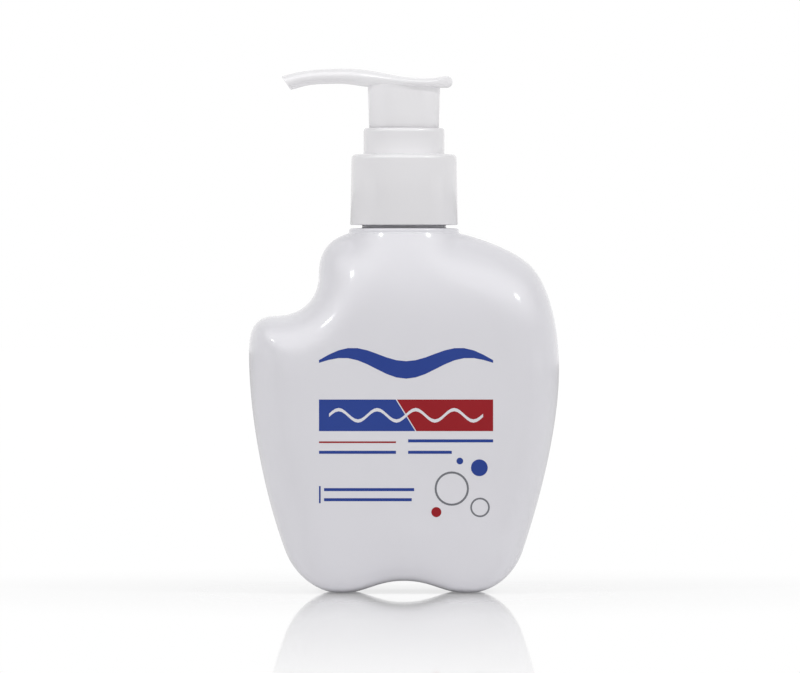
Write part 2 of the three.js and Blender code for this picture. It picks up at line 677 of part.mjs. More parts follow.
// The paste's way through the head, as an oval section swept from over the stem to past the tip.
function duct(growth, knots) {
  const line = curveThrough(knots).getPoints(8);
  const way = new THREE.CatmullRomCurve3(line.map((point) => new THREE.Vector3(point.x, 0, point.y)));
  const height = BORE_HALF_HEIGHT + growth;
  const width = BORE_HALF_WIDTH + growth;
  const oval = new THREE.Shape().absellipse(0, 0, width, height, 0, 2 * Math.PI);
  const options = { steps: 7 * (knots.length - 1), curveSegments: 6, bevelEnabled: false };
  return solidOf(new THREE.ExtrudeGeometry(oval, { ...options, extrudePath: way }));
}

// Head in one piece: pad, spout, skirt, duct and stem socket. Its zero height is the pad's underside.
function pumpHead() {
  const skirtTop = 1;
  const profile = upright(headProfile(), -PAD_HALF_WIDTH - 1, 2 * PAD_HALF_WIDTH + 2);
  const plan = new THREE.ExtrudeGeometry(headPlan(), { depth: 12, bevelEnabled: false }).translate(0, 0, -4);
  const skirt = turned([
    [skirtR - SKIRT_DRAFT - SKIRT_WALL, skirtBottom - padZ],
    [skirtR - SKIRT_DRAFT, skirtBottom - padZ],
    [skirtR, 0],
    [skirtR, skirtTop],
    [skirtR - SKIRT_WALL, skirtTop],
    [skirtR - SKIRT_WALL, 0],
  ], ROUND);
  const socketOuter = rod(socketR + SOCKET_WALL, socketBottom - padZ, skirtTop, SLIM);
  const start = { x: BORE_HALF_WIDTH, y: 0, heading: 180, after: 0.4 };
  const crest = { x: -CREST_X, y: (CREST_HEIGHT + SPOUT_UNDERSIDE) / 2, heading: 180, before: 0.42, after: 0.4 };
  const tip = { x: -HEAD_REACH, y: TIP_TOP - TIP_DROP / 2 - 0.5, heading: 197, before: 0.33 };
  const outerStart = { ...start, x: BORE_HALF_WIDTH + BORE_WALL };
  const bore = rod(socketR, socketBottom - padZ - 1, -stemDrop, SLIM);
  const riser = rod(STEM_BORE_R, -stemDrop - 1, 0, SLIM);
  return geometryOf(
    solidOf(profile)
      .intersect(solidOf(plan))
      .add(solidOf(skirt))
      .add(solidOf(socketOuter))
      .add(duct(BORE_WALL, [outerStart, crest]))
      .subtract(solidOf(bore))
      .subtract(solidOf(riser))
      .subtract(duct(0, [start, crest, tip])),
  );
}

// A ribbon that waves between two ends. Its half width and its swing are functions of the way along.
function waveShape(left, right, z, turns, swing, halfWidth) {
  const steps = 12 * turns;
  const above = [];
  const below = [];
  for (let i = 0; i <= steps; i++) {
    const share = i / steps;
    const x = lerp(left, right, share);
    const middle = z + swing * Math.sin(share * turns * 2 * Math.PI);
    above.push(new THREE.Vector2(x, middle + halfWidth(share)));
    below.unshift(new THREE.Vector2(x, middle - halfWidth(share)));
  }
  return new THREE.Shape([...below, ...above]);
}

function polygon(...points) {
  return new THREE.Shape(points.map(([x, z]) => new THREE.Vector2(x, z)));
}

function bar(left, right, z, height) {
  const bottom = z - height / 2;
  const top = z + height / 2;
  return polygon([left, bottom], [right, bottom], [right, top], [left, top]);
}

function bubble({ x, z, radius, holeRadius }) {
  const disc = new THREE.Shape().absarc(x, z, radius, 0, 2 * Math.PI);
  if (holeRadius) disc.holes.push(new THREE.Path().absarc(x, z, holeRadius, 0, 2 * Math.PI, true));
  return disc;
}

// Printed shapes by node name, with the ink of each
function printedShapes() {
  const slant = (BAND_SPLIT_BOTTOM - BAND_SPLIT_TOP) / (BAND_TOP - BAND_BOTTOM);
  const half = (INK_SPLIT / 2) * Math.hypot(1, slant);
  const columnEnd = PRINT_LEFT + LEFT_COLUMN_WIDTH;
  const columnStart = PRINT_RIGHT - RIGHT_COLUMN_WIDTH;
  const footLeft = PRINT_LEFT + FOOT_LINE_INDENT;
  const footUpperZ = MARK_Z + FOOT_LINE_SPACING / 2;
  const footLowerZ = MARK_Z - FOOT_LINE_SPACING / 2;
  const waveHalfWidth = (share) => lerp(WAVE_TIP, WAVE_BAND, Math.sin(share * Math.PI));
  const wave = waveShape(PRINT_LEFT, PRINT_RIGHT, WAVE_Z, WAVE_TURNS, WAVE_HEIGHT, waveHalfWidth);
  const blueField = polygon(
    [PRINT_LEFT, BAND_BOTTOM],
    [BAND_SPLIT_BOTTOM - half, BAND_BOTTOM],
    [BAND_SPLIT_TOP - half, BAND_TOP],
    [PRINT_LEFT, BAND_TOP],
  );
  const redField = polygon(
    [BAND_SPLIT_BOTTOM + half, BAND_BOTTOM],
    [PRINT_RIGHT, BAND_BOTTOM],
    [PRINT_RIGHT, BAND_TOP],
    [BAND_SPLIT_TOP + half, BAND_TOP],
  );
  const bubbles = Object.entries(BUBBLES).map(([name, b]) => [name, b.ink, bubble(b)]);
  return [
    ["print_wave", "blue", wave],
    ["print_band_blue", "blue", blueField],
    ["print_band_red", "red", redField],
    ["print_rule_red", "red", bar(PRINT_LEFT, columnEnd, RULE_Z, RULE_HEIGHT)],
    ["print_line_left", "blue", bar(PRINT_LEFT, columnEnd, LINE_LOWER_Z, LINE_HEIGHT)],
    ["print_line_right_upper", "blue", bar(columnStart, PRINT_RIGHT, LINE_UPPER_Z, LINE_HEIGHT)],
    ["print_line_right_lower", "blue", bar(columnStart, PRINT_RIGHT - SHORT_LINE_CUT, LINE_LOWER_Z, LINE_HEIGHT)],
    ["print_mark_upright", "blue", bar(PRINT_LEFT, PRINT_LEFT + MARK_WIDTH, MARK_Z, MARK_HEIGHT)],
    ["print_line_foot_upper", "blue", bar(footLeft, footLeft + FOOT_UPPER_WIDTH, footUpperZ, LINE_HEIGHT)],
    ["print_line_foot_lower", "blue", bar(footLeft, footLeft + FOOT_LOWER_WIDTH, footLowerZ, LINE_HEIGHT)],
    ...bubbles,
  ];
}

const inks = {
  blue: new THREE.MeshStandardMaterial({ color: 0x36489a, roughness: 0.4 }),
  red: new THREE.MeshStandardMaterial({ color: 0x96202a, roughness: 0.4 }),
  grey: new THREE.MeshStandardMaterial({ color: 0x8c8f96, roughness: 0.4 }),
};
const bottlePlastic = new THREE.MeshStandardMaterial({ color: 0xebebee, roughness: 0.3 });
const pumpPlastic = new THREE.MeshStandardMaterial({ color: 0xefeef0, roughness: 0.3 });
const clearPlastic = new THREE.MeshStandardMaterial({ color: 0xdfe3e4, roughness: 0.4 });
const sealPlastic = new THREE.MeshStandardMaterial({ color: 0xe6e2d6, roughness: 0.5 });
const steel = new THREE.MeshStandardMaterial({ color: 0xb9bcc0, roughness: 0.25, metalness: 1 });

function add(group, name, geometry, material) {
  const mesh = new THREE.Mesh(geometry, material);
  mesh.name = name;
  group.add(mesh);
}

const dispenser = new THREE.Group();
add(dispenser, "bottle", bottle(), bottlePlastic);

// Ink lies on the flat front. The band has a wave left bare across both of its fields.
const frontY = -BODY_DEPTH / 2 - PRINT_GAP - PRINT_THICKNESS;
const bandWave = waveShape(PRINT_LEFT + BAND_WAVE_MARGIN, PRINT_RIGHT - BAND_WAVE_MARGIN,
  (BAND_BOTTOM + BAND_TOP) / 2, BAND_WAVE_TURNS, BAND_WAVE_HEIGHT, () => BAND_WAVE_WIDTH);
const bareWave = solidOf(upright(bandWave, frontY - 1, PRINT_THICKNESS + 2));
for (const [name, ink, shape] of printedShapes()) {
  const sheet = upright(shape, frontY, PRINT_THICKNESS, 16);
  const cut = name.includes("band") ? geometryOf(solidOf(sheet).subtract(bareWave)) : sheet;
  add(dispenser, name, cut, inks[ink]);
}

// The pump's pieces are placed from the neck's rim.
const pump = new THREE.Group();
pump.position.z = rimZ;
dispenser.add(pump);
add(pump, "screw_collar", screwCollar(), pumpPlastic);
add(pump, "neck_gasket", neckGasket(), sealPlastic);
add(pump, "guide_collar", guideCollar(), pumpPlastic);
add(pump, "pump_cylinder", pumpCylinder(), clearPlastic);
add(pump, "inlet_ball", inletBall(), steel);
add(pump, "dip_tube", dipTube(), clearPlastic);
add(pump, "spring", spring(), steel);
add(pump, "piston", piston(), sealPlastic);
add(pump, "stem", stem(), clearPlastic);
add(pump, "valve_pin", valvePin(), clearPlastic);

// The head is placed from its pad's underside.
const head = new THREE.Group();
head.position.z = padZ;
pump.add(head);
add(head, "pump_head", pumpHead(), pumpPlastic);

export default dispenser;
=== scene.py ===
import math

import bpy
import numpy as np
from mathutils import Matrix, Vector
from mathutils.geometry import interpolate_bezier


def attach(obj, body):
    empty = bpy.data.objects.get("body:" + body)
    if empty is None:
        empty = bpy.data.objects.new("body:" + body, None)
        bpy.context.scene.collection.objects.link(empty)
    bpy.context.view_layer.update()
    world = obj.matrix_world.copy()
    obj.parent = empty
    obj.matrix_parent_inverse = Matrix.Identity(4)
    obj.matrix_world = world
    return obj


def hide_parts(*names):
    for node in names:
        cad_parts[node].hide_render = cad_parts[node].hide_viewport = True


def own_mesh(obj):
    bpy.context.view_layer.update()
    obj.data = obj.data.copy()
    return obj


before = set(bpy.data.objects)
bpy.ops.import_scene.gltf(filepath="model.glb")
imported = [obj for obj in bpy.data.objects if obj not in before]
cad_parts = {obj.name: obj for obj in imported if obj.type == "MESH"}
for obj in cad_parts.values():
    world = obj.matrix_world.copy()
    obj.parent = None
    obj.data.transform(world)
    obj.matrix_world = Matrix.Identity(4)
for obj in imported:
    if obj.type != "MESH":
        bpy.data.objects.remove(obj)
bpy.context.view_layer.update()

MM = 0.001

# Bottle, in millimetres: the same sizes as the solid that it is dressed around
SIDE = 46.55
BODY_HEIGHT = 107.3
BODY_HALF_DEPTH = 23.0
BASE_HALF_DEPTH = 21.5
SHOULDER_R = 17.0
SHOULDER_DROP = 28.0
SIDE_EDGE = 16.0
BASE_EDGE = 8.0
BASE_BLEND = 20.0
WALL = 1.2
SHOULDER_STEP = 0.5
RING_R = 16.5
RING_TOP = 108.9
RING_EDGE = 0.8
NECK_R = 12.6
NECK_EDGE = 0.4
RIM_Z = 122.0
RIM_WALL = 1.1
THREAD_PITCH = 4.23
THREAD_TURNS = 1.5
THREAD_DEPTH = 1.1
THREAD_ROOT_HALF = 1.1
THREAD_CREST_HALF = 0.5
THREAD_Z = RIM_Z - 3.05 - THREAD_TURNS * THREAD_PITCH

# How square the body's edges are at its base, its sides and its shoulder; 2 is a round
BASE_POWER = 4
SIDE_POWER = 2.5
SHOULDER_POWER = 2

# Knots of the body's outline seen from the front: place, heading in degrees, and the lengths of the
# handles before and after it as shares of the chord on that side
OUTLINE = [
    (SHOULDER_R, BODY_HEIGHT, -13.6, 0, 0.3),
    (38.6, 97.0, -48, 0.28, 0.24),
    (SIDE, 67.0, -90, 0.4, 0.32),
    (35.6, 12.2, -109, 0.27, 0.35),
    (18.9, -0.35, 180, 0.38, 0.39),
    (0, 3.3, 180, 0.44, 0.44),
    (-18.9, -0.35, 180, 0.39, 0.35),
    (-35.6, 12.2, 111, 0.35, 0.28),
    (-SIDE, 72.0, 90, 0.33, 0.56),
    (-38.5, 82.6, 0, 0.43, 0.42),
    (-25.6, 95.0, 90, 0.43, 0.53),
    (-SHOULDER_R, BODY_HEIGHT, 18.4, 0.32, 0),
]

# Screw collar, in millimetres
COLLAR_BOTTOM = 109.9
COLLAR_TOP = 131.1
COLLAR_R = 16.15
COLLAR_DRAFT = 0.35
COLLAR_EDGE = 1.4
COLLAR_BORE_R = 14.1
COLLAR_HOLE_R = 12.5
COLLAR_TOP_WALL = 1.5
COLLAR_LOW_EDGE = 0.2
COLLAR_HOLE_EDGE = 0.3
THREAD_CLEARANCE = 0.4
THREAD_GAP = 1.75

# Guide collar, in millimetres
GUIDE_TOP = 138.95
GUIDE_R = 12.15
GUIDE_EDGE_WIDTH = 0.75
GUIDE_EDGE_HEIGHT = 1.3
GUIDE_BORE_R = 11.15
GUIDE_BORE_EDGE = 0.2
GUIDE_FLOOR_TOP = 126.2
GUIDE_FLOOR_BOTTOM = 125.2
GUIDE_FLANGE_R = 13.6
GUIDE_FLANGE_TOP = 129.5
GUIDE_FLANGE_BOTTOM = 128.0
PLUG_R = 6.15
PLUG_BOTTOM = 118.5
STEM_TUBE_R = 4.95
STEM_HOLE_R = 3.75

# Head and spring, in millimetres
PAD_Z = 151.05
PAD_OVERLAP = 1
SKIRT_BOTTOM = 137.55
SKIRT_R = 10.87
SKIRT_DRAFT = 0.43
SKIRT_EDGE = 0.3
SKIRT_WALL = 1.1
SOCKET_R = 4.6
SOCKET_BORE_R = 3.6
SOCKET_BOTTOM = 142.0
HEAD_REAR = 14.6
REAR_START = 10
TIP_X = -36.7
TIP_CUT = 2.8
TIP_CUT_END = -25
TIP_RIM = 0.2
TIP_CROWN = 0.06
NOZZLE_WALL = 1.0
# The pad's rear end is half a round of this radius about this place
REAR_HALF = 1.75
REAR_X = 12.85
# Knots of the head's top, underside and half width, in the same form as the outline's
HEAD_TOP = [
    (TIP_X, 3.4, 18, 0, 0.33),
    (-17.5, 5.7, 0, 0.4, 0.42),
    (6.5, 2.8, 0, 0.42, 0.4),
    (REAR_X, 2 * REAR_HALF, 5, 0.3, 0),
]
HEAD_UNDER = [
    (TIP_X, -0.6, 15, 0, 0.33),
    (-19.5, 1.2, 0, 0.4, 0.4),
    (-SKIRT_R, 0.3, -4, 0.3, 0.3),
    (REAR_X, 0, 0, 0.3, 0),
]
HEAD_PLAN = [
    (TIP_X - 1, 4.0, 0, 0, 0.3),
    (-19.5, 4.7, 4, 0.3, 0.4),
    (2.6, 12.0, 0, 0.36, 0.39),
    (HEAD_REAR, 0, -90, 0.39, 0),
]
# Places along the duct in the spout, which is as steep as this share of their rise
DUCT = [(-36, 1.5), (-31, 2.9), (-25, 3.9), (-17.5, 4.3), (-9, 3.7)]
DUCT_RISE = 0.6
# How square the sections are: the spout's, and how much more the pad's
SPOUT_POWER = 2.2
PAD_EXTRA_POWER = 1.0

# Fineness of the meshes
AROUND = 128
OUTLINE_POINTS = 257
BODY_RINGS = 34
HEAD_STATIONS = 64
REAR_STATIONS = 22
HEAD_AROUND = 57
SOCKET_AROUND = 64
MERGE = 0.004 * MM

# How far a film of ink stands over the bottle's skin and reaches into it, in millimetres
INK_PROUD = 0.03
INK_SUNK = 0.3


def smoothstep(x, low, high):
    t = np.clip((x - low) / (high - low), 0, 1)
    return t * t * (3 - 2 * t)


def line_through(knots, count=40):
    """Points of the smooth line through knots, in millimetres."""
    points = []
    for a, b in zip(knots, knots[1:]):
        start, end = Vector((a[0], a[1])), Vector((b[0], b[1]))
        chord = (end - start).length
        leave, arrive = math.radians(a[2]), math.radians(b[2])
        first = start + a[4] * chord * Vector((math.cos(leave), math.sin(leave)))
        second = end - b[3] * chord * Vector((math.cos(arrive), math.sin(arrive)))
        stretch = interpolate_bezier(start.to_3d(), first.to_3d(), second.to_3d(), end.to_3d(), count)
        points += [(p.x, p.y) for p in stretch[bool(points):]]
    return np.array(points)


def evenly(line, count):
    """The same line with count points at equal distances."""
    run = np.concatenate([[0], np.cumsum(np.hypot(*np.diff(line, axis=0).T))])
    at = np.linspace(0, run[-1], count)
    return np.column_stack([np.interp(at, run, line[:, 0]), np.interp(at, run, line[:, 1])])


def edit(piece):
    """Only this piece is selected, and all of it is selected in edit mode."""
    bpy.ops.object.select_all(action="DESELECT")
    piece.select_set(True)
    bpy.context.view_layer.objects.active = piece
    bpy.ops.object.mode_set(mode="EDIT")
    bpy.ops.mesh.select_all(action="SELECT")


def leave_edit(angle=35):
    """Back to object mode, shaded smooth but for edges sharper than the angle."""
    bpy.ops.object.mode_set(mode="OBJECT")
    bpy.ops.object.shade_smooth_by_angle(angle=math.radians(angle))


def apply_modifier(piece, kind, **settings):
    """A modifier with these settings is added to the piece and applied at once."""
    bpy.ops.object.select_all(action="DESELECT")
    piece.select_set(True)
    bpy.context.view_layer.objects.active = piece
    modifier = piece.modifiers.new(kind.title(), kind)
    for name, value in settings.items():
        setattr(modifier, name, value)
    bpy.ops.object.modifier_apply(modifier=modifier.name)


def join(name, *parts):
    """One object of this name, made of the parts."""
    bpy.ops.object.select_all(action="DESELECT")
    for part in parts:
        part.select_set(True)
    bpy.context.view_layer.objects.active = parts[0]
    bpy.ops.object.join()
    parts[0].name = name
    parts[0].data.name = name
    return parts[0]


def place_vertices(piece, places):
    """Moves each vertex to its place, in millimetres."""
    piece.data.vertices.foreach_set("co", (places * MM).astype(np.float32).ravel())
    piece.data.update()


def sheet_of(name, grid):
    """A grid whose points are moved to the given rows of places, in millimetres."""
    rows, columns = grid.shape[:2]
    bpy.ops.object.select_all(action="DESELECT")
    bpy.ops.mesh.primitive_grid_add(x_subdivisions=columns - 1, y_subdivisions=rows - 1, size=1)
    piece = bpy.context.object
    piece.name = name
    place_vertices(piece, grid.reshape(-1, 3))
    return piece


def arc(x, z, radius, start, end, count=6):
    """Points of a round edge about (x, z), its angles in degrees."""
    angles = np.radians(np.linspace(start, end, count))
    return [(x + radius * math.cos(a), z + radius * math.sin(a)) for a in angles]


def turned(name, profile, closed=True, steps=AROUND):
    """A point is extruded along a profile of radius and height, and the line is spun about the axis."""
    bpy.ops.object.select_all(action="DESELECT")
    bpy.ops.mesh.primitive_plane_add(size=MM, location=(0, 0, 0))
    piece = bpy.context.object
    piece.name = name
    bpy.ops.object.mode_set(mode="EDIT")
    bpy.ops.mesh.select_all(action="SELECT")
    bpy.ops.mesh.merge(type="CENTER")
    points = [*profile, profile[0]] if closed else profile
    last = (0, 0)
    for i, (r, z) in enumerate(points):
        step = ((r - last[0]) * MM, 0, (z - last[1]) * MM)
        if i:
            bpy.ops.mesh.extrude_region_move(TRANSFORM_OT_translate={"value": step})
        else:
            bpy.ops.transform.translate(value=step)
        last = (r, z)
    bpy.ops.mesh.select_all(action="SELECT")
    bpy.ops.mesh.spin(steps=steps, angle=2 * math.pi, center=(0, 0, 0), axis=(0, 0, 1))
    bpy.ops.mesh.select_all(action="SELECT")
    bpy.ops.mesh.remove_doubles(threshold=MERGE)
    bpy.ops.mesh.normals_make_consistent(inside=False)
    leave_edit()
    return piece


def thread(name, wall_r, crest_r, height, start_turn):
    """One helical ridge that runs out into its wall at both ends."""
    out = math.copysign(1, crest_r - wall_r)
    turn = np.linspace(0, THREAD_TURNS, 110)
    # The crest rises out of the wall within an eighth of a turn at each end.
    shown = np.minimum(1, np.minimum(turn, THREAD_TURNS - turn) * 8)
    tip = wall_r - 0.1 * out + (crest_r - wall_r + 0.1 * out) * shown
    root = np.full_like(turn, wall_r - 0.4 * out)
    angle = (start_turn + turn) * 2 * math.pi
    climb = height + (start_turn + turn) * THREAD_PITCH
    rows = []
    low, high = -THREAD_ROOT_HALF, THREAD_ROOT_HALF
    crest = THREAD_CREST_HALF
    for r, dz in [(root, low), (tip, -crest), (tip, crest), (root, high), (root, low)]:
        rows.append(np.column_stack([r * np.cos(angle), r * np.sin(angle), climb + dz]))
    piece = sheet_of(name, np.array(rows))
    edit(piece)
    bpy.ops.mesh.remove_doubles(threshold=MERGE)
    bpy.ops.mesh.select_all(action="DESELECT")
    bpy.ops.mesh.select_non_manifold()
    bpy.ops.mesh.fill()
    bpy.ops.mesh.select_all(action="SELECT")
    bpy.ops.mesh.normals_make_consistent(inside=False)
    leave_edit()
    return piece


def body_outline():
    return evenly(line_through(OUTLINE), OUTLINE_POINTS)


def half_depth(line, x, z):
    """Half of the body's depth at places of the front view. Its edge rounds in from the outline."""
    a, b = line[:-1], line[1:]
    run = b - a
    share = ((x[:, None] - a[:, 0]) * run[:, 0] + (z[:, None] - a[:, 1]) * run[:, 1]) / (run ** 2).sum(1)
    share = np.clip(share, 0, 1)
    across = x[:, None] - a[:, 0] - share * run[:, 0]
    along = z[:, None] - a[:, 1] - share * run[:, 1]
    away = np.hypot(across, along)
    near = away.min(1)
    # Away from the outline the distance is a mean over the whole of it, which leaves no creases.
    fall = 7
    total = (np.hypot(*run.T) * np.maximum(away, 0.5) ** -fall).sum(1)
    straight = math.sqrt(math.pi) * math.gamma((fall - 1) / 2) / math.gamma(fall / 2)
    soft = (total / straight) ** (1 / (1 - fall))
    blend = smoothstep(near, 2, 7) * (1 - smoothstep(z, 94, BODY_HEIGHT))
    distance = near + (soft - near) * blend
    foot = smoothstep(z, 0, BASE_BLEND)
    neck = smoothstep(z, BODY_HEIGHT - SHOULDER_DROP, BODY_HEIGHT)
    edge = BASE_EDGE + (SIDE_EDGE - BASE_EDGE) * foot
    edge = edge + (SHOULDER_R - edge) * neck
    power = BASE_POWER + (SIDE_POWER - BASE_POWER) * foot
    power = power + (SHOULDER_POWER - power) * neck
    deepest = BASE_HALF_DEPTH + (BODY_HALF_DEPTH - BASE_HALF_DEPTH) * foot
    rise = np.clip((z - BODY_HEIGHT + SHOULDER_DROP) / SHOULDER_DROP, 0, 1)
    deepest = deepest + (SHOULDER_R - deepest) * rise ** 2
    reach = np.minimum(distance / edge, 1)
    return deepest * (1 - (1 - reach) ** power) ** (1 / power)


def bottle_shell():
    """The body's front is a sheet of rings about its middle, mirrored, and the neck is turned on top."""
    line = body_outline()
    angles = np.linspace(0, math.pi, AROUND // 2 + 1)[1:]
    top = np.column_stack([-SHOULDER_R * np.cos(angles), np.full(len(angles), BODY_HEIGHT)])
    rim = np.vstack([line, top])
    middle = np.array([0, 0.45 * BODY_HEIGHT])
    # The rings lie closer towards the edge, which is rounder.
    shares = np.sin(np.linspace(0, 1, BODY_RINGS + 1) ** 1.15 * math.pi / 2)
    grid = []
    for i, share in enumerate(shares):
        flat = middle + (rim - middle) * share
        depth = half_depth(line, flat[:, 0], flat[:, 1])
        if i == BODY_RINGS:
            depth[: len(line)] = 0
            depth[len(line):] = SHOULDER_R * np.sin(angles)
        grid.append(np.column_stack([flat[:, 0], -depth, np.maximum(flat[:, 1], 0)]))
    front = sheet_of("bottle_front", np.array(grid))
    edit(front)
    bpy.ops.mesh.remove_doubles(threshold=MERGE)
    leave_edit()
    apply_modifier(front, "MIRROR", use_axis=(False, True, False), merge_threshold=0.01 * MM)
    neck = turned("bottle_neck", [
        (SHOULDER_R, BODY_HEIGHT),
        *arc(SHOULDER_R, BODY_HEIGHT + SHOULDER_STEP, SHOULDER_STEP, 260, 180, 5),
        *arc(RING_R - RING_EDGE, RING_TOP - RING_EDGE, RING_EDGE, 0, 90),
        *arc(NECK_R + NECK_EDGE, RING_TOP + NECK_EDGE, NECK_EDGE, 270, 180, 5),
        *arc(NECK_R - NECK_EDGE, RIM_Z - NECK_EDGE, NECK_EDGE, 0, 90, 5),
        (NECK_R - RIM_WALL, RIM_Z),
    ], closed=False)
    shell = join("bottle_shell", front, neck)
    edit(shell)
    bpy.ops.mesh.remove_doubles(threshold=0.02 * MM)
    bpy.ops.mesh.normals_make_consistent(inside=False)
    leave_edit()
    apply_modifier(shell, "SOLIDIFY", thickness=WALL * MM, offset=-1)
    ridge = thread("bottle_thread", NECK_R, NECK_R + THREAD_DEPTH, THREAD_Z, 0)
    shell = join("bottle_shell", shell, ridge)
    edit(shell)
    leave_edit(40)
    return shell


def screw_collar():
    """A ribless cap with a hole in its top, a little narrower at the top than at the bottom."""
    low, bore, hole = COLLAR_LOW_EDGE, COLLAR_BORE_R, COLLAR_HOLE_EDGE
    narrow = COLLAR_R - COLLAR_DRAFT
    shell = turned("collar_shell", [
        (bore, COLLAR_BOTTOM + low),
        (bore + low, COLLAR_BOTTOM),
        *arc(narrow, COLLAR_BOTTOM + COLLAR_DRAFT, COLLAR_DRAFT, 270, 360, 4),
        *arc(narrow - COLLAR_EDGE, COLLAR_TOP - COLLAR_EDGE, COLLAR_EDGE, 0, 90, 8),
        *arc(COLLAR_HOLE_R + hole, COLLAR_TOP - hole, hole, 90, 180, 4),
        (COLLAR_HOLE_R, COLLAR_TOP - COLLAR_TOP_WALL),
        (bore, COLLAR_TOP - COLLAR_TOP_WALL),
    ])
    ridge = thread("collar_thread", bore, NECK_R + THREAD_CLEARANCE, THREAD_Z - THREAD_GAP, 0.5)
    return join("collar_shell", shell, ridge)


def guide_collar():
    """A cup on the flange, with a tube round the stem and a plug that reaches into the cylinder."""
    wide, tall = GUIDE_EDGE_WIDTH, GUIDE_EDGE_HEIGHT
    rim = [
        (GUIDE_R - wide + wide * math.cos(a), GUIDE_TOP - tall + tall * math.sin(a))
        for a in np.linspace(0, math.pi / 2, 8)
    ]
    return turned("guide_collar_shell", [
        (STEM_HOLE_R, PLUG_BOTTOM),
        (PLUG_R, PLUG_BOTTOM),
        (PLUG_R, GUIDE_FLOOR_BOTTOM),
        (GUIDE_R, GUIDE_FLOOR_BOTTOM),
        (GUIDE_R, GUIDE_FLANGE_BOTTOM),
        (GUIDE_FLANGE_R, GUIDE_FLANGE_BOTTOM),
        (GUIDE_FLANGE_R, GUIDE_FLANGE_TOP),
        (GUIDE_R + 0.1, GUIDE_FLANGE_TOP),
        (GUIDE_R, GUIDE_FLANGE_TOP + 0.2),
        *rim,
        *arc(GUIDE_BORE_R + GUIDE_BORE_EDGE, GUIDE_TOP - GUIDE_BORE_EDGE, GUIDE_BORE_EDGE, 90, 180, 3),
        (GUIDE_BORE_R, GUIDE_FLOOR_TOP),
        (STEM_TUBE_R, GUIDE_FLOOR_TOP),
        (STEM_TUBE_R, GUIDE_FLANGE_TOP),
        (STEM_HOLE_R, GUIDE_FLANGE_TOP),
    ])


def pump_head():
    """The pad and spout are one run of rounded sections, and the skirt and socket stand under them."""
    top, under, plan = (line_through(k) for k in (HEAD_TOP, HEAD_UNDER, HEAD_PLAN))
    plan = plan[np.argsort(plan[:, 0])]
    rear = HEAD_REAR - REAR_X
    body = np.linspace(TIP_X, REAR_START, HEAD_STATIONS)
    turn = np.linspace(0, 1, REAR_STATIONS)[1:] * math.pi / 2
    end = HEAD_REAR - (HEAD_REAR - REAR_START) * (1 - np.sin(turn))
    stations = np.concatenate([body, end])
    theta = np.linspace(0, 2 * math.pi, HEAD_AROUND)
    rows = []
    for x in stations:
        bulge = math.sqrt(max(0, 1 - (max(0, x - REAR_X) / rear) ** 2))
        high = np.interp(x, *top.T) if x < REAR_X else REAR_HALF * (1 + bulge)
        low = np.interp(x, *under.T) if x < REAR_X else REAR_HALF * (1 - bulge)
        width = np.interp(x, *plan.T) if x < HEAD_REAR - 0.01 else 0
        square = SPOUT_POWER + PAD_EXTRA_POWER * float(smoothstep(x, -22, 0))
        c, s = np.cos(theta), np.sin(theta)
        y = width * np.sign(c) * np.abs(c) ** (2 / square)
        z = (high + low) / 2 + (high - low) / 2 * np.sign(s) * np.abs(s) ** (2 / square)
        slant = TIP_CUT * (1 - float(smoothstep(x, TIP_X, TIP_CUT_END)))
        slant = slant * (high - z) / max(high - low, 0.01)
        rows.append(np.column_stack([x + slant, y, PAD_Z + z]))
    pad = sheet_of("head_pad", np.array(rows))
    edit(pad)
    bpy.ops.mesh.remove_doubles(threshold=0.01 * MM)
    bpy.ops.mesh.select_all(action="DESELECT")
    bpy.ops.mesh.select_non_manifold()
    bpy.ops.mesh.edge_face_add()
    bpy.ops.mesh.inset(thickness=TIP_RIM * MM)
    bpy.ops.transform.translate(value=(-TIP_CROWN * MM, 0, 0))
    # The nozzle's opening and the duct behind it
    bpy.ops.mesh.inset(thickness=NOZZLE_WALL * MM)
    for (x0, z0), (x1, z1) in zip(DUCT, DUCT[1:]):
        step = ((x1 - x0) * MM, 0, (z1 - z0) * DUCT_RISE * MM)
        bpy.ops.mesh.extrude_region_move(TRANSFORM_OT_translate={"value": step})
    bpy.ops.mesh.select_all(action="SELECT")
    bpy.ops.mesh.normals_make_consistent(inside=False)
    leave_edit(30)
    inside = PAD_Z + PAD_OVERLAP
    skirt = turned("head_skirt", [
        *arc(SKIRT_R - SKIRT_DRAFT - SKIRT_EDGE, SKIRT_BOTTOM + SKIRT_EDGE, SKIRT_EDGE, 180, 360, 6),
        (SKIRT_R, PAD_Z),
        (SKIRT_R, inside),
        (SKIRT_R - SKIRT_WALL, inside),
        (SKIRT_R - SKIRT_WALL, PAD_Z),
    ])
    socket = turned("head_socket", [
        (SOCKET_BORE_R, SOCKET_BOTTOM),
        (SOCKET_R, SOCKET_BOTTOM),
        (SOCKET_R, inside),
        (SOCKET_BORE_R, inside),
    ], steps=SOCKET_AROUND)
    return join("head_moulding", pad, skirt, socket)


class Value:
    """A socket of a material's nodes, which adds Math nodes when it is used in an expression."""

    def __init__(self, maker, socket):
        self.maker = maker
        self.socket = socket

    def math(self, operation, *others):
        inputs = {i: value for i, value in enumerate((self, *others))}
        return self.maker.node("ShaderNodeMath", {"operation": operation}, inputs)

    def __add__(self, other):
        return self.math("ADD", other)

    def __radd__(self, other):
        return self.math("ADD", other)

    def __sub__(self, other):
        return self.math("SUBTRACT", other)

    def __mul__(self, other):
        return self.math("MULTIPLY", other)

    def __truediv__(self, other):
        return self.math("DIVIDE", other)

    def __pow__(self, other):
        return self.math("POWER", other)


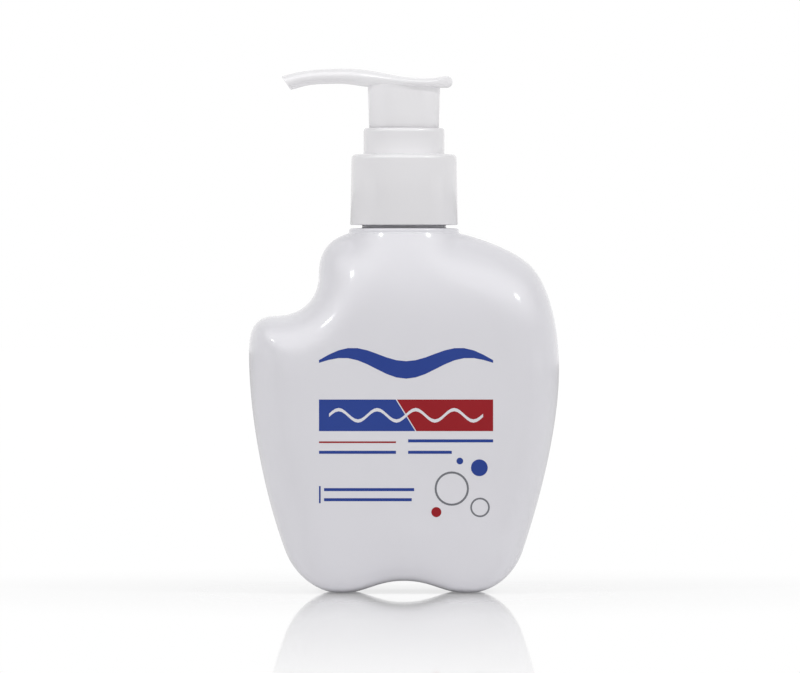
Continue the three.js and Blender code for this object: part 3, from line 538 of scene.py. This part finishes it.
class Maker:
    """Adds nodes to one material or world."""

    def __init__(self, owner):
        owner.use_nodes = True
        self.tree = owner.node_tree
        self.tree.nodes.clear()

    def node(self, kind, settings=None, inputs=None, output=0):
        made = self.tree.nodes.new(kind)
        for name, value in (settings or {}).items():
            setattr(made, name, value)
        for name, value in (inputs or {}).items():
            if isinstance(value, Value):
                self.tree.links.new(value.socket, made.inputs[name])
            else:
                made.inputs[name].default_value = value
        return Value(self, made.outputs[output])

    def place(self):
        return self.node("ShaderNodeTexCoord", output="Object")

    def axis(self, number):
        """The place along X, Y or Z, in metres."""
        return self.node("ShaderNodeSeparateXYZ", None, {0: self.place()}, output=number)

    def smooth_range(self, value, low, high, first, last):
        """Goes smoothly from first to last while the value goes from low to high."""
        inputs = {0: value, 1: low, 2: high, 3: first, 4: last}
        return self.node("ShaderNodeMapRange", {"interpolation_type": "SMOOTHSTEP"}, inputs)

    def surface(self, shader, owner="Material"):
        out = self.tree.nodes.new("ShaderNodeOutput" + owner)
        self.tree.links.new(shader.socket, out.inputs["Surface"])

    def noise(self, scale, detail):
        inputs = {"Vector": self.place(), "Scale": scale, "Detail": detail}
        return self.node("ShaderNodeTexNoise", None, inputs)

    def mix_color(self, factor, a, b):
        return self.node("ShaderNodeMix", {"data_type": "RGBA"}, {0: factor, 6: a, 7: b}, output=2)


def color(*rgb):
    return (*rgb, 1.0)


# Noise scales per metre: clouds of colour, clouds of gloss, and the skin's slow waves
CLOUDS = 38.0
GLOSS_CLOUDS = 260.0
WAVES = 45.0
SEAM_HALF = 0.25 * MM


def finish(name, dark, light, roughness, grain, grain_height, seam=0.0, **fixed):
    """A moulded surface: faint clouds in colour and gloss, fine grain, and a parting line at y = 0."""
    material = bpy.data.materials.new(name)
    m = Maker(material)
    cloud = m.noise(CLOUDS, 2.0)
    tint = m.mix_color(cloud, color(*dark), color(*light))
    gloss = roughness + (m.noise(GLOSS_CLOUDS, 4.0) - 0.5) * (0.35 * roughness)
    height = m.noise(grain, 2.0) * grain_height + m.noise(WAVES, 1.0) * (grain_height * 6)
    if seam:
        across = m.axis(1) / SEAM_HALF
        height = height + (across ** 2.0 * -1.0).math("EXPONENT") * seam
    bump = m.node("ShaderNodeBump", None, {"Strength": 1.0, "Distance": 1.0, "Height": height})
    inputs = {"Base Color": tint, "Roughness": gloss, "Normal": bump, **fixed}
    m.surface(m.node("ShaderNodeBsdfPrincipled", None, inputs))
    return material


def dress(piece, material):
    piece.data.materials.clear()
    piece.data.materials.append(material)


bottle_white = finish(
    "bottle_white", (0.765, 0.757, 0.798), (0.805, 0.797, 0.838), 0.14, 900.0, 3e-6, seam=1e-5, IOR=1.42,
)
pump_white = finish("pump_white", (0.83, 0.82, 0.84), (0.87, 0.86, 0.88), 0.13, 1500.0, 3e-6)
head_white = finish("head_white", (0.9, 0.89, 0.91), (0.94, 0.93, 0.95), 0.22, 1500.0, 2e-6, IOR=1.42)
natural_plastic = finish(
    "natural_plastic", (0.66, 0.68, 0.69), (0.78, 0.8, 0.81), 0.3, 1200.0, 5e-6,
    **{"Transmission Weight": 0.35},
)
soft_seal = finish("soft_seal", (0.74, 0.71, 0.63), (0.82, 0.79, 0.72), 0.5, 1400.0, 8e-6)
bright_steel = finish(
    "bright_steel", (0.5, 0.5, 0.52), (0.64, 0.64, 0.66), 0.18, 2600.0, 4e-6, Metallic=1.0,
)
INKS = {
    name: finish(name, dark, light, 0.3, 2200.0, 6e-6, **{"Specular IOR Level": 0.15})
    for name, dark, light in [
        ("blue_ink", (0.018, 0.048, 0.265), (0.03, 0.066, 0.31)),
        ("red_ink", (0.29, 0.008, 0.014), (0.35, 0.013, 0.02)),
        ("grey_ink", (0.16, 0.165, 0.185), (0.21, 0.215, 0.235)),
    ]
}

# Pieces made here: the node that each stands for, the body that it rides on, its slot and its finish
MADE = [
    (bottle_shell, "bottle", "container", "bottle_plastic", bottle_white),
    (screw_collar, "screw_collar", "collar", "pump_plastic", pump_white),
    (guide_collar, "guide_collar", "pump_body", "pump_plastic", pump_white),
    (pump_head, "pump_head", "plunger", "pump_plastic", head_white),
]
for make, node, body, slot, material in MADE:
    piece = make()
    dress(piece, material)
    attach(piece, body)
    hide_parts(node)


def copy_of(node, name):
    """A new object with a copy of a node's mesh."""
    piece = bpy.data.objects.new(name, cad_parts[node].data.copy())
    bpy.context.scene.collection.objects.link(piece)
    return piece


def ink_film(node, ink):
    """A printed field follows the bottle's skin: a copy of its sheet is laid on it as a thin film."""
    film = copy_of(node, node + "_film")
    edit(film)
    bpy.ops.mesh.remove_doubles(threshold=0.002 * MM)
    bpy.ops.mesh.subdivide(number_cuts=1)
    bpy.ops.object.mode_set(mode="OBJECT")
    places = np.array([v.co for v in film.data.vertices]) / MM
    skin = -half_depth(body_outline(), places[:, 0], places[:, 2])
    outer = places[:, 1] < (places[:, 1].min() + places[:, 1].max()) / 2
    places[:, 1] = np.where(outer, skin - INK_PROUD, skin + INK_SUNK)
    place_vertices(film, places)
    dress(film, INKS[ink])
    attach(film, "container")
    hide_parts(node)


# Nodes that keep their own mesh, and the inks that aren't blue
KEPT = {
    "pump_cylinder": natural_plastic, "stem": natural_plastic, "valve_pin": natural_plastic,
    "dip_tube": natural_plastic, "piston": soft_seal, "neck_gasket": soft_seal,
    "inlet_ball": bright_steel,
}
OTHER_INK = {
    "print_rule_red": "red_ink", "print_band_red": "red_ink", "print_bubble_red": "red_ink",
    "print_bubble_large": "grey_ink", "print_bubble_small": "grey_ink",
}
for name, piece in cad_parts.items():
    if name.startswith("print_"):
        ink_film(name, OTHER_INK.get(name, "blue_ink"))
    elif name in KEPT:
        dress(piece, KEPT[name])

# The spring closes up while the head is pressed, on its seat in the cylinder
coil = copy_of("spring", "spring_coil")
dress(coil, bright_steel)
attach(coil, "coil")
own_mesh(coil)
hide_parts("spring")

WHITE = color(1, 1, 1)


def light_path(maker, *rays):
    """1 where a ray is one of these, from a single Light Path node."""
    path = maker.tree.nodes.new("ShaderNodeLightPath")
    total = Value(maker, path.outputs[rays[0]])
    for ray in rays[1:]:
        total = total + Value(maker, path.outputs[ray])
    return total


FLOOR_GAP = 0.2 * MM

# Floor: pale and matt, with a contact shadow near the feet, and a mirror that fades towards the camera
bpy.ops.object.select_all(action="DESELECT")
bpy.ops.mesh.primitive_plane_add(size=12, location=(0, 0, -FLOOR_GAP))
floor = bpy.context.object
floor.name = "floor"
floor_white = bpy.data.materials.new("floor_white")
m = Maker(floor_white)
matt = m.node("ShaderNodeBsdfDiffuse", None, {"Color": color(0.96, 0.96, 0.96)})
glow = m.node("ShaderNodeEmission", None, {"Color": WHITE, "Strength": 1.0})
mirror = m.node("ShaderNodeBsdfGlossy", None, {"Color": WHITE, "Roughness": 0.03})
away = m.node("ShaderNodeVectorMath", {"operation": "LENGTH"}, {0: m.place()}, output=1)
near = m.smooth_range(away, 0.04, 0.2, 0.6, 0.0)
fade = m.smooth_range(m.axis(1), -0.75, 0.0, 0.0, 0.62)
ground = m.node("ShaderNodeMixShader", None, {0: near, 1: glow, 2: matt})
polished = m.node("ShaderNodeMixShader", None, {0: fade, 1: ground, 2: mirror})
bounce = m.node("ShaderNodeMixShader", None, {0: 0.06, 1: matt, 2: glow})
seen = light_path(m, "Is Camera Ray")
m.surface(m.node("ShaderNodeMixShader", None, {0: seen, 1: bounce, 2: polished}))
dress(floor, floor_white)

# World: white where it is seen or mirrored, a softer grey as light
world = bpy.data.worlds.new("studio")
bpy.context.scene.world = world
m = Maker(world)
seen = light_path(m, "Is Camera Ray", "Is Glossy Ray", "Is Transmission Ray").math("MINIMUM", 1.0)
level = 0.48 + seen * 0.52
m.surface(m.node("ShaderNodeBackground", None, {"Color": WHITE, "Strength": level}), "World")

# A curved card in front of the object, brightest at its top, which only its gloss mirrors. It is part of
# a sphere of this radius about a point at this height, in millimetres.
CARD_RADIUS = 1300
CARD_HEIGHT = 80
card_rows = []
for elevation in np.radians(np.linspace(3, 88, 18)):
    azimuth = np.radians(np.linspace(-120, 120, 50))
    reach = CARD_RADIUS * math.cos(elevation)
    height = np.full(len(azimuth), CARD_HEIGHT + CARD_RADIUS * math.sin(elevation))
    card_rows.append(np.column_stack([reach * np.sin(azimuth), -reach * np.cos(azimuth), height]))
card = sheet_of("sheen_card", np.array(card_rows))
card.visible_camera = card.visible_diffuse = card.visible_shadow = False
sheen = bpy.data.materials.new("sheen")
m = Maker(sheen)
high = m.smooth_range(m.axis(2), 0.2, 0.95, 0.0, 3.0)
fore = m.smooth_range(m.axis(1), 0.6, -0.5, 0.0, 1.0)
glow = high * fore + 1.0
m.surface(m.node("ShaderNodeEmission", None, {"Color": WHITE, "Strength": glow}))
dress(card, sheen)


MIDDLE = Vector((0, 0, 0.08))


def softbox(name, azimuth, elevation, distance, size, power):
    """A square lamp round the object, aimed at the bottle's middle: degrees, metres and watts."""
    a, e = math.radians(azimuth), math.radians(elevation)
    towards = Vector((math.sin(a) * math.cos(e), -math.cos(a) * math.cos(e), math.sin(e)))
    bpy.ops.object.select_all(action="DESELECT")
    bpy.ops.object.light_add(type="AREA", location=MIDDLE + distance * towards)
    lamp = bpy.context.object
    lamp.name = name
    lamp.rotation_euler = towards.to_track_quat("Z", "Y").to_euler()
    lamp.data.size = size
    lamp.data.energy = power


softbox("overhead", 0, 86, 1.4, 1.3, 3.0)
softbox("left_lamp", -54, 38, 1.3, 0.08, 2.8)
softbox("right_lamp", 58, 38, 1.3, 0.08, 2.8)
softbox("right_fill", 76, 8, 1.5, 0.8, 1.4)
softbox("left_fill", -80, 8, 1.5, 0.8, 0.8)

# Camera at the photograph's angle: this much of the object's plane fills the width, in metres
WIDTH_SEEN = 0.2402
SENSOR = 36
DISTANCE = 2.4
ELEVATION = math.radians(0.6)
CENTRE = Vector((-0.0012, 0, 0.0764))
bpy.ops.object.select_all(action="DESELECT")
towards = Vector((0, -math.cos(ELEVATION), math.sin(ELEVATION)))
bpy.ops.object.camera_add(location=CENTRE + DISTANCE * towards)
camera = bpy.context.object
camera.rotation_euler = (math.pi / 2 - ELEVATION, 0, 0)
camera.data.sensor_width = SENSOR
camera.data.lens = SENSOR * DISTANCE / WIDTH_SEEN
camera.data.clip_end = 50
bpy.context.scene.camera = camera
bpy.context.scene.view_settings.view_transform = "Standard"
